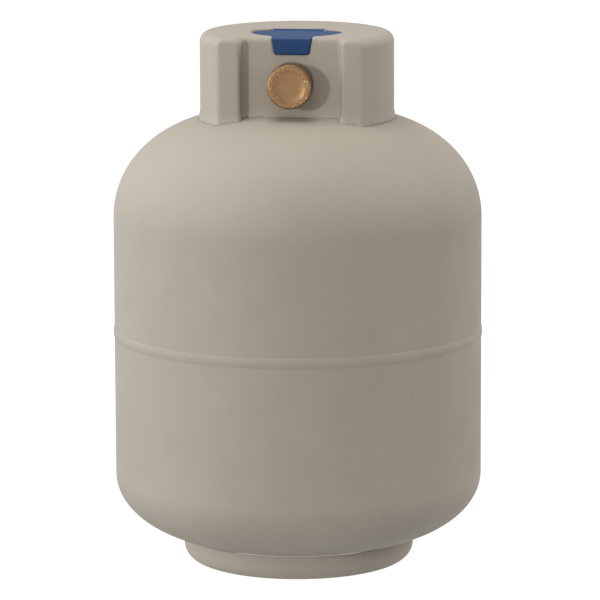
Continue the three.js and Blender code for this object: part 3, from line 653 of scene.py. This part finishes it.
def front_plan(z, inset, flat_roll, panel_roll):
    """The guard's front at one height: the flats, the recess and its panel, open to the sides and rear."""
    mouth = recess_half + inset + panel_roll
    tangent = Vector((flats, flat_corner_x)) / guard_radius
    corner = Vector((flat_corner_x, -flats)) + tangent * ((inset + flat_roll) / tangent.y)
    side = corner + tangent * 0.04
    right = [
        (mouth - recess_draft, -(panel - inset - panel_roll), 0.0024),
        (mouth, corner.y, 0.0028),
        (corner.x - inset, corner.y, 0.0024),
        (side.x, side.y),
        (0.1, 0.1),
    ]
    left = [(-c[0], *c[1:]) for c in reversed(right)]
    return [(x, y, z) for x, y in rounded(right + left)]


def guard_form(inset, bottom, top):
    edge = guard_edge - inset
    radius = guard_radius - inset
    roof = arc((radius - edge, top - edge), edge, 0, 90)
    drum = turned("drum", [(0, bottom), (radius, bottom)] + roof + [(0, top)], 160)
    rings = [front_plan(bottom - 0.001, inset, 0, 0)]
    for i in range(12):
        below = flat_edge * (1 - i / 11) ** 1.6
        rings.append(front_plan(top - below, inset, rolled(below, flat_edge), rolled(below, panel_edge)))
    rings.append(front_plan(top + 0.001, inset, flat_edge, panel_edge))
    return joined("form", drum, ("INTERSECT", lofted("front", rings)))


cover_radius = cover_high.x
cover_rear = 0.0165
cover_rear_power = 3.2
cover_plate = 0.0025
seat_clearance = 0.0009
cover_seat = deck - 0.0041
cover_bottom = cover_seat + mating_gap
cover_top = cover_bottom + cover_plate
roof_underside = cover_seat - 0.0018
ledge = 0.0023
well_radius = cover_radius - ledge
well_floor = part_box("guard_screw_1")[1].z - screw_head - mating_gap
well_wall = 0.003
seat_underside = cover_seat - 0.0055
seat_wall_radius = cover_radius + seat_clearance + well_wall
hinge_y = (pin_low.y + pin_high.y) / 2
hinge_z = (pin_low.z + pin_high.z) / 2
hinge_half = 0.022
knuckle_radius = 0.0022
knuckle_room = 0.0004
pin_radius = (pin_high.z - pin_low.z) / 2
tab_height = cover_top - cover_low.z
tab_top_half = 0.0165
tab_low_half = 0.0145
tab_corner = 0.0028
tab_thickness = 0.0028
tab_gap = 0.0004
tab_soft = 0.0011
thread_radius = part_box("outlet_fitting")[1].x


def cover_plan(grown):
    """The cover's outline from above: half a circle in front and half a flat oval behind."""
    front = arc((0, 0), cover_radius + grown, 180, 360, 60)
    rear = []
    for i in range(1, 40):
        t = math.pi * i / 40
        across = math.copysign(abs(math.cos(t)) ** (2 / cover_rear_power), math.cos(t))
        back = math.sin(t) ** (2 / cover_rear_power)
        rear.append(((cover_radius + grown) * across, (cover_rear + grown) * back))
    return front + rear


def tab_outline(gap, rise):
    """The tab from the front, as (x, z): a little narrower below, with round lower corners."""
    taper = (tab_top_half - tab_low_half) / tab_height
    low = cover_top - tab_height - gap
    right = [(tab_low_half + gap, low, tab_corner), (tab_top_half + gap + taper * rise, cover_top + rise)]
    left = [(-c[0], *c[1:]) for c in reversed(right)]
    return rounded(right + left, 8)


def tab_tool(gap, rise, back, front, soft=0.0):
    """The tab's outline carried from back to front, its front edge rounded where it is soft."""
    middle = cover_top - tab_height / 2
    turns = [math.radians(15 * i) for i in range(7)] if soft else [math.radians(90)]
    levels = [(back, 0.0)] + [(front - soft * (1 - math.sin(t)), soft * (1 - math.cos(t)) if soft else 0.0)
                              for t in turns]
    rings = []
    for depth, inset in levels:
        rings.append([(x - math.copysign(inset, x), -depth, z - math.copysign(inset, z - middle))
                      for x, z in tab_outline(gap, rise)])
    return lofted("tab", rings)


def bridge_tool(gap, front, low, high):
    """What joins the lid to the tab, from above: as wide as the tab, with a fillet to the lid."""
    fillet = 0.0026 - gap
    half = tab_top_half + gap
    root = -math.sqrt(cover_radius ** 2 - (half + fillet) ** 2) - gap
    right = [
        (half, -front),
        (half, root - fillet, fillet),
        (half + fillet, root),
        (half + fillet, root + 0.004),
    ]
    plan = rounded(right + [(-c[0], *c[1:]) for c in reversed(right)], 6)
    return lofted("bridge", [[(x, y, z) for x, y in plan] for z in (low, high)])


def slab(plan, low, high):
    return lofted("slab", [[(x, y, z) for x, y in plan] for z in (low, high)])


def across_hinge(piece):
    """Lays a piece that is turned about Z along the hinge's line."""
    quarter_turn = Matrix.Rotation(math.radians(90), 4, "Y")
    piece.data.transform(Matrix.Translation((0, hinge_y, hinge_z)) @ quarter_turn)
    return piece


def dome_height(r):
    return upper_tangent + upper_head_depth * math.sqrt(max(0.0, 1 - (r / vessel_radius) ** upper_head_power))


sunk = 0.0012
dome_cut = turned("dome", [(0, upper_tangent - 0.03), (vessel_radius, upper_tangent - 0.03)] + [
    (r, upper_tangent + h - sunk)
    for r, h in head_curve(vessel_radius, upper_head_depth, upper_head_power, 0.0)], 160)

hold_half = 0.0475
hold_end = 0.014
hold_height = deck - 0.0176 - hold_end
hold_outline = (arc((hold_half - hold_end, hold_height), hold_end, -90, 90)
                + arc((-hold_half + hold_end, hold_height), hold_end, 90, 270))
hold_start = well_radius + 2 * well_wall
hold_cut = lofted("hold", [[(x, y, z) for x, z in reversed(hold_outline)]
                           for y in (hold_start, guard_radius + 0.01)])

hollow = joined(
    "hollow", guard_form(guard_wall, upper_tangent, deck - guard_wall),
    ("DIFFERENCE", turned("well", [
        (0, well_floor - well_wall), (well_radius + well_wall, well_floor - well_wall),
        (well_radius + well_wall, seat_underside - well_wall), (seat_wall_radius, seat_underside),
        (seat_wall_radius, deck), (0, deck)])),
    ("DIFFERENCE", box_tool((-tab_top_half - 0.004, -panel, cover_top - tab_height - 0.0024),
                            (tab_top_half + 0.004, -well_radius + 0.002, deck))),
)
above_deck = deck + 0.001
guard_cuts = [
    hollow,
    bar(well_radius, well_floor, roof_underside, steps=128),
    slab(cover_plan(-ledge), roof_underside - 0.001, cover_seat + 0.001),
    slab(cover_plan(seat_clearance), cover_seat, above_deck),
    bar(neck_radius + 0.0005, well_floor - 2 * well_wall, well_floor + 0.001),
    box_tool((-hinge_half - mating_gap, 0, roof_underside - 0.001),
             (hinge_half + mating_gap, hinge_y + knuckle_radius + knuckle_room, above_deck)),
    tab_tool(tab_gap, 0.005, tab_front - tab_thickness - mating_gap, panel + 0.008),
    bridge_tool(tab_gap, panel + 0.008, cover_seat, above_deck),
    bar(thread_radius + 0.0006, panel - guard_wall - 0.002, panel + 0.002, "front", outlet_height),
    hold_cut,
    across_hinge(bar(pin_radius + mating_gap, pin_low.x - mating_gap, pin_high.x + mating_gap, steps=32)),
    dome_cut,
]
for number in range(1, 5):
    screw_low, screw_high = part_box(f"guard_screw_{number}")
    hole = bar(screw_hole, well_floor - 2 * well_wall, well_floor + 0.001, steps=24)
    screw_place = ((screw_low.x + screw_high.x) / 2, (screw_low.y + screw_high.y) / 2, 0)
    hole.data.transform(Matrix.Translation(screw_place))
    guard_cuts.append(hole)
guard = joined(
    "moulded_guard", guard_form(0, upper_tangent, deck), *[("DIFFERENCE", tool) for tool in guard_cuts])
melted(guard, 0.0010, 4, 110000)

flare_height = 0.0052
flare_reach = 0.0030
skin_depth = 0.0014
for vertex in guard.data.vertices:
    x, y, z = vertex.co
    r = math.hypot(x, y)
    above = z - dome_height(r)
    on_recess = abs(x) < recess_half + skin_depth and y < -panel + skin_depth
    on_skin = r > guard_radius - skin_depth or y < -flats + skin_depth or on_recess
    if above > flare_height or not on_skin:
        continue
    outward = Vector((vertex.normal.x, vertex.normal.y, 0))
    spread = vertex.co + outward * flare_reach * (1 - max(0.0, above) / flare_height) ** 2
    vertex.co = (spread.x, spread.y, z + dome_height(math.hypot(spread.x, spread.y)) - dome_height(r))

guard_coat = grey_coat("guard_grey_plastic", (0.362, 0.324, 0.268), 1500, 360)
dressed(guard, guard_coat, "tank", "guard_plastic", "guard_shell")


# ---- Handwheel, stem and its screw ----
# The wheel is turned by its ten lobes, down in the well under the cover.
# It is black glass-filled nylon on a square brass stem, held by one slotted screw.

wheel_lobe = 0.0012
wheel_middle = wheel_high.x - wheel_lobe
wheel_soft = 0.0016
wheel_web = wheel_low.z + 0.004
wheel_rim = 0.0055
hub_recess = 0.0063
hub_outer = hub_recess + 0.0032
stem_radius = 0.004


def plastic(name, colour, roughness, grain=700, depth=0.00003):
    surface = Shader(name, colour, roughness)
    light = tuple(min(1, c * 1.12 + 0.002) for c in colour)
    clouds = surface.noise(18, 4)
    surface.colour(surface.blend(surface.spread(clouds, 0.35, 0.65), colour, light))
    surface.roughness(surface.spread(surface.noise(60, 4), 0.3, 0.7, roughness - 0.06, roughness + 0.08))
    surface.bump((surface.noise(grain, 3), depth))
    return surface


def lobed_ring(z, inset, steps=240):
    ring = []
    for i in range(steps):
        angle = 2 * math.pi * i / steps
        r = wheel_middle + wheel_lobe * math.cos(10 * angle) - inset
        ring.append((r * math.cos(angle), r * math.sin(angle), z))
    return ring


edge_turns = [math.radians(15 * i) for i in range(7)]
wheel_rings = [lobed_ring(wheel_low.z + wheel_soft * (1 - math.sin(t)), wheel_soft * (1 - math.cos(t)))
               for t in reversed(edge_turns)]
wheel_rings += [lobed_ring(wheel_high.z - wheel_soft * (1 - math.sin(t)), wheel_soft * (1 - math.cos(t)))
                for t in edge_turns]
wheel = joined(
    "lobed_handwheel", lofted("wheel", wheel_rings),
    ("DIFFERENCE", bar(stem_radius + mating_gap, wheel_low.z - 0.001, wheel_high.z + 0.001)),
    ("DIFFERENCE", bar(hub_recess, wheel_high.z - 0.0026, wheel_high.z + 0.001)),
    ("DIFFERENCE", turned("web", rounded([
        (hub_outer, wheel_web, 0.001), (wheel_middle - wheel_rim, wheel_web, 0.001),
        (wheel_middle - wheel_rim + 0.0004, wheel_high.z + 0.001),
        (hub_outer - 0.0004, wheel_high.z + 0.001)]), 96)),
)
for spoke in range(5):
    rib = box_tool((hub_outer - 0.0006, -0.0009, wheel_web - 0.0005),
                   (wheel_middle - wheel_rim + 0.0006, 0.0009, wheel_high.z - 0.003))
    rib.data.transform(Matrix.Rotation(math.radians(72 * spoke + 18), 4, "Z"))
    joined("lobed_handwheel", wheel, ("UNION", rib))
black_nylon = plastic("black_nylon", (0.018, 0.018, 0.019), 0.46)
dressed(wheel, black_nylon, "handwheel", "black_plastic", "handwheel")

stem_low, stem_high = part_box("valve_stem")
stem_square = 0.0028
shoulder = stem_low.z + 0.0065
stem = joined(
    "brass_stem", bar(stem_radius, shoulder, stem_high.z, chamfer=0.0005),
    ("UNION", box_tool((-stem_square, -stem_square, stem_low.z),
                       (stem_square, stem_square, shoulder + 0.001))),
    ("DIFFERENCE", bar(0.002, stem_high.z - 0.009, stem_high.z + 0.001, steps=32)),
)
dressed(stem, machined_brass, "handwheel", "brass", "valve_stem")

wheel_screw_low, wheel_screw_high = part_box("handwheel_screw")
screw_rim = wheel_screw_high.x
screw_top = wheel_screw_high.z
wheel_screw = joined(
    "wheel_screw", turned("screw", rounded([
        (0, wheel_screw_low.z), (0.0017, wheel_screw_low.z, 0.0004), (0.0017, screw_top - 0.0018),
        (screw_rim, screw_top - 0.0018, 0.0003), (screw_rim, screw_top, 0.001), (0, screw_top)], 5), 48),
    ("DIFFERENCE", box_tool((-0.004, -0.0006, screw_top - 0.0008), (0.004, 0.0006, screw_top + 0.001))),
)
dressed(wheel_screw, zinc, "handwheel", "zinc_steel", "handwheel_screw")


# ---- Cover ----
# The blue cover is one moulding: a lid let into the deck, a finger tab that hangs down over the
# front panel, a rim underneath that centres it in the well, and a hinge barrel behind.

rim_in = ledge + 0.0006
rim_width = 0.0016
rim_bottom = cover_bottom - 0.0018
lid_edges = [(cover_bottom, 0.0003), (cover_bottom + 0.0003, 0.0)]
lid_edges += [(cover_top - 0.0009 * (1 - math.sin(t)), 0.0009 * (1 - math.cos(t))) for t in edge_turns]
lid = lofted("lid", [[(x, y, z) for x, y in cover_plan(-inset)] for z, inset in lid_edges])
rim = joined("rim", slab(cover_plan(-rim_in), rim_bottom, cover_bottom + 0.001),
             ("DIFFERENCE", slab(cover_plan(-rim_in - rim_width), rim_bottom - 0.001, cover_bottom + 0.0005)))
cover = joined(
    "flip_cover", lid,
    ("UNION", rim),
    ("UNION", box_tool((-hinge_half, 0, cover_bottom), (hinge_half, hinge_y, cover_top))),
    ("UNION", across_hinge(bar(knuckle_radius, -hinge_half, hinge_half, steps=48))),
    ("UNION", bridge_tool(0, tab_front - tab_soft, cover_bottom, cover_top)),
    ("UNION", tab_tool(0, 0, tab_front - tab_thickness, tab_front, tab_soft)),
    ("DIFFERENCE", across_hinge(bar(pin_radius + mating_gap, -0.025, 0.025, steps=32))),
)
melted(cover, 0.00045, 4, 40000)
blue = Shader("blue_plastic", (0.010, 0.046, 0.140), 0.5)
blue_clouds = blue.spread(blue.noise(26, 4), 0.35, 0.65)
blue.colour(blue.blend(blue_clouds, (0.0085, 0.044, 0.135), (0.012, 0.051, 0.146)))
blue.roughness(blue.spread(blue.noise(90, 4), 0.3, 0.7, 0.42, 0.56))
blue.surface.inputs["Specular IOR Level"].default_value = 0.2
blue.bump((blue.noise(700, 3), 0.00003), (blue.noise(120, 2), 0.00006))
dressed(cover, blue, "cover", "blue_plastic", "valve_cover")

hinge_pin = across_hinge(turned("hinge_rod", rounded([
    (0, pin_low.x), (pin_radius, pin_low.x, 0.0004),
    (pin_radius, pin_high.x, 0.0004), (0, pin_high.x)], 4), 48))
dressed(hinge_pin, zinc, "tank", "zinc_steel", "cover_hinge_pin")


# ---- Outlet fitting and cap ----
# The fitting is turned brass with a coarse outside thread. It screws into the valve's front arm.
# The cap is spun brass, screwed over the thread down to a rubber washer. Its rim is scuffed bright; its outer
# edge is painted darker as shade and its dish wall painted lighter as a highlight.

fitting_low, fitting_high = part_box("outlet_fitting")
fitting_back, fitting_front = -fitting_high.y, -fitting_low.y
shoulder_back = well_radius + well_wall + 0.001
thread_pitch = 0.0051
thread_depth = 0.0013
thread_start = shoulder_back + 0.003
thread_end = fitting_front - 0.0016
check_bore_depth = 0.0133
row_pitch = thread_pitch / 10
thread_rows = int((thread_end - thread_start) / row_pitch)
fitting_outline = (
    [(0.005, fitting_back), (0.0093, fitting_back), (0.0093, shoulder_back), (thread_radius, shoulder_back)]
    + [(thread_radius, thread_start + row_pitch * i) for i in range(thread_rows + 1)]
    + [(thread_radius - 0.0012, fitting_front), (0.0095, fitting_front), (0.009, fitting_front - 0.0005),
       (0.009, fitting_front - check_bore_depth), (0.005, fitting_front - check_bore_depth)]
)
fitting = turned("threaded_fitting", fitting_outline, 120, "front", outlet_height)
for vertex in fitting.data.vertices:
    x, y, z = vertex.co.x, vertex.co.y, vertex.co.z - outlet_height
    if math.hypot(x, z) < thread_radius - 0.0001 or not thread_start < -y < thread_end:
        continue
    turn = (-y / thread_pitch + math.atan2(z, x) / (2 * math.pi)) % 1
    flank = min(1.0, max(0.0, abs(turn - 0.5) * 5 - 0.8))
    fade = min(1.0, (-y - thread_start) / 0.002, (thread_end + y) / 0.001)
    kept = 1 - thread_depth * flank * fade / thread_radius
    vertex.co.x = x * kept
    vertex.co.z = z * kept + outlet_height
dressed(fitting, machined_brass, "tank", "brass", "outlet_fitting")

cap_low, cap_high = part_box("outlet_cap")
cap_radius = cap_high.x
cap_back, cap_front = -cap_high.y, -cap_low.y
cap_wall = 0.0016
cap_face = 0.0028
cap_dish = 0.0009
cap_neck = cap_radius - 0.0009
cap_flange = 0.0068
cap_outline = rounded([
    (0, cap_front - cap_face),
    (cap_radius - cap_wall, cap_front - cap_face, 0.0005),
    (cap_radius - cap_wall, cap_back, 0.0002),
    (cap_neck, cap_back, 0.0002),
    (cap_neck, cap_front - cap_flange, 0.0008),
    (cap_radius, cap_front - cap_flange + 0.0006, 0.0007),
    (cap_radius, cap_front - 0.0001, 0.0021),
    (0.0136, cap_front, 0.0030),
    (0.0108, cap_front - cap_dish, 0.0030),
    (0, cap_front - cap_dish - 0.0001),
], 8)
cap = turned("spun_cap", cap_outline, 160, "front", outlet_height)
# The cap's brass has real stains and rim scuffs, plus painted shade at its outer edge and a painted highlight
# on its dish wall.
worn = Shader("worn_brass_with_painted_light", (0.36, 0.215, 0.098), 0.42, 0.72)
cap_axis = worn.node("ShaderNodeMapping")
cap_axis.inputs["Location"].default_value = (0, 0, -outlet_height)
cap_axis.inputs["Scale"].default_value = (1, 0, 1)
worn.link(worn.place, cap_axis.inputs["Vector"])
from_axis = worn.node("ShaderNodeVectorMath", operation="LENGTH")
worn.link(cap_axis.outputs["Vector"], from_axis.inputs[0])
out = from_axis.outputs["Value"]
on_rim = worn.times(worn.spread(out, 0.0120, 0.0135), worn.spread(out, 0.0185, 0.0172))
# Painted shade: a ring at the cap's outer edge is darkened to stand in for the shade there.
edge_painted_shade = worn.spread(out, 0.0172, 0.0184)
# Painted highlight: a ring on the dish wall is lightened to stand in for the light it catches.
dish_painted_highlight = worn.times(worn.spread(out, 0.0102, 0.0116), worn.spread(out, 0.0129, 0.0119))
scuffs = worn.times(worn.spread(worn.noise(520, 4, 0.65), 0.60, 0.66), on_rim)
stains = worn.spread(worn.noise(60, 5, 0.6), 0.45, 0.70, 0, 0.6)
tone = worn.blend(stains, (0.272, 0.158, 0.074), (0.222, 0.124, 0.056))
# The outer edge ring gets the darker painted-shade tone.
tone = worn.blend(edge_painted_shade, tone, (0.19, 0.105, 0.050))
# The dish wall ring gets the lighter painted-highlight tone.
tone = worn.blend(dish_painted_highlight, tone, (0.285, 0.162, 0.072))
worn.colour(worn.blend(scuffs, tone, (0.72, 0.50, 0.28)))
worn.roughness(worn.spread(worn.noise(150, 4), 0.3, 0.7, 0.36, 0.52))
turning_marks = worn.node("ShaderNodeMath", operation="SINE")
ring_scale = worn.node("ShaderNodeMath", operation="MULTIPLY")
ring_scale.inputs[1].default_value = 2 * math.pi / 0.00032
worn.link(out, ring_scale.inputs[0])
worn.link(ring_scale.outputs["Value"], turning_marks.inputs[0])
worn.bump(
    (turning_marks.outputs["Value"], 0.000002),
    (worn.noise(380, 4, 0.6), 0.00004),
    (worn.noise(70, 2), 0.00006),
)
dressed(cap, worn, "cap", "brass", "outlet_cap")

rubber = plastic("black_rubber", (0.014, 0.014, 0.014), 0.8, 400, 0.00005)
washer_low, washer_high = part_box("cap_gasket")
washer = turned("cap_washer", rounded([
    (0.006, -washer_high.y, 0.0004), (washer_high.x, -washer_high.y, 0.0004),
    (washer_high.x, -washer_low.y, 0.0004), (0.006, -washer_low.y, 0.0004)], 4), 96, "front", outlet_height)
dressed(washer, rubber, "cap_seal", "rubber", "cap_gasket")

keeper_low, keeper_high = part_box("check_retainer")
keeper = joined(
    "check_ring", turned("ring", rounded([
        (0.0058, -keeper_high.y, 0.0003), (keeper_high.x, -keeper_high.y, 0.0003),
        (keeper_high.x, -keeper_low.y, 0.0004), (0.0058, -keeper_low.y, 0.0006)], 4),
        64, "front", outlet_height),
    ("DIFFERENCE", box_tool((-0.01, keeper_low.y - 0.001, outlet_height - spanner_slot),
                            (0.01, keeper_low.y + 0.0011, outlet_height + spanner_slot))),
)
dressed(keeper, machined_brass, "tank", "brass", "check_retainer")

plunger_low, plunger_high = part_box("check_plunger")
plunger_front, plunger_back = -plunger_low.y, -plunger_high.y
plunger_step = plunger_front - 0.0027
plunger = turned("check_poppet", rounded([
    (0, plunger_back), (0.002, plunger_back, 0.0004), (0.002, plunger_step - 0.0025, 0.0003),
    (plunger_high.x, plunger_step - 0.0025, 0.0003), (plunger_high.x, plunger_step, 0.0004),
    (0.0054, plunger_step, 0.0003), (0.0054, plunger_front, 0.0008), (0, plunger_front)], 4),
    64, "front", outlet_height)
dressed(plunger, machined_brass, "check", "brass", "check_plunger")


# ---- Springs ----
# Two coils of drawn spring steel wire: a light one behind the check plunger and a stronger one
# behind the relief poppet. Each is built at one fixed length, from its node's near end to its far end.

spring_steel = metal("spring_steel", (0.55, 0.55, 0.56), 0.28, 700)


def coil(name, node, wire, turns, height):
    """A compression spring along Y in the space of its node, with its end coils closer together."""
    coil_low, coil_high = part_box(node)
    radius = coil_high.x - wire
    length = coil_high.y - coil_low.y - 2 * wire
    rings = []
    for i in range(turns * 36 + 1):
        share = i / (turns * 36)
        angle = 2 * math.pi * turns * share
        along = coil_low.y + wire + length * min(1.0, max(0.0, (share - 0.07) / 0.86))
        ring = []
        for j in range(10):
            around = 2 * math.pi * j / 10
            out_by = radius + wire * math.cos(around)
            y = along + wire * math.sin(around)
            ring.append((out_by * math.cos(angle), y, height + out_by * math.sin(angle)))
        rings.append(ring)
    made = lofted(name, rings)
    made.data.polygons.foreach_set("use_smooth", [True] * len(made.data.polygons))
    dressed(made, spring_steel, "tank", "spring_steel", node)
    return made, coil_low.y, coil_high.y


check_coil, coil_front, coil_back = coil("check_coil", "check_spring", 0.0004, 3, outlet_height)
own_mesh(check_coil)
relief_coil, coil_front, coil_back = coil("relief_coil", "relief_spring", 0.0006, 5, relief_height)
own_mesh(relief_coil)


# ---- Inner pieces ----
# Seals, the seat, the relief poppet, the dip tube and the overfill stop are out of sight inside the
# valve and the vessel. Their plain turned shapes are kept, each in its own material.

foam = plastic("closed_cell_foam", (0.045, 0.045, 0.05), 0.9, 900, 0.0002)
inner_looks = {
    bare_steel: ("backing_ring",),
    rubber: ("stem_seal", "seat_disc", "fitting_seal", "relief_seal"),
    machined_brass: ("seat_piston", "relief_poppet", "dip_tube"),
    black_nylon: ("stop_housing", "stop_plunger"),
    zinc: ("float_pin", "float_arm", "float_clip"),
    foam: ("float",),
}
for look, names in inner_looks.items():
    for name in names:
        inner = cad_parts[name]
        inner.data.materials.clear()
        inner.data.materials.append(look.material)
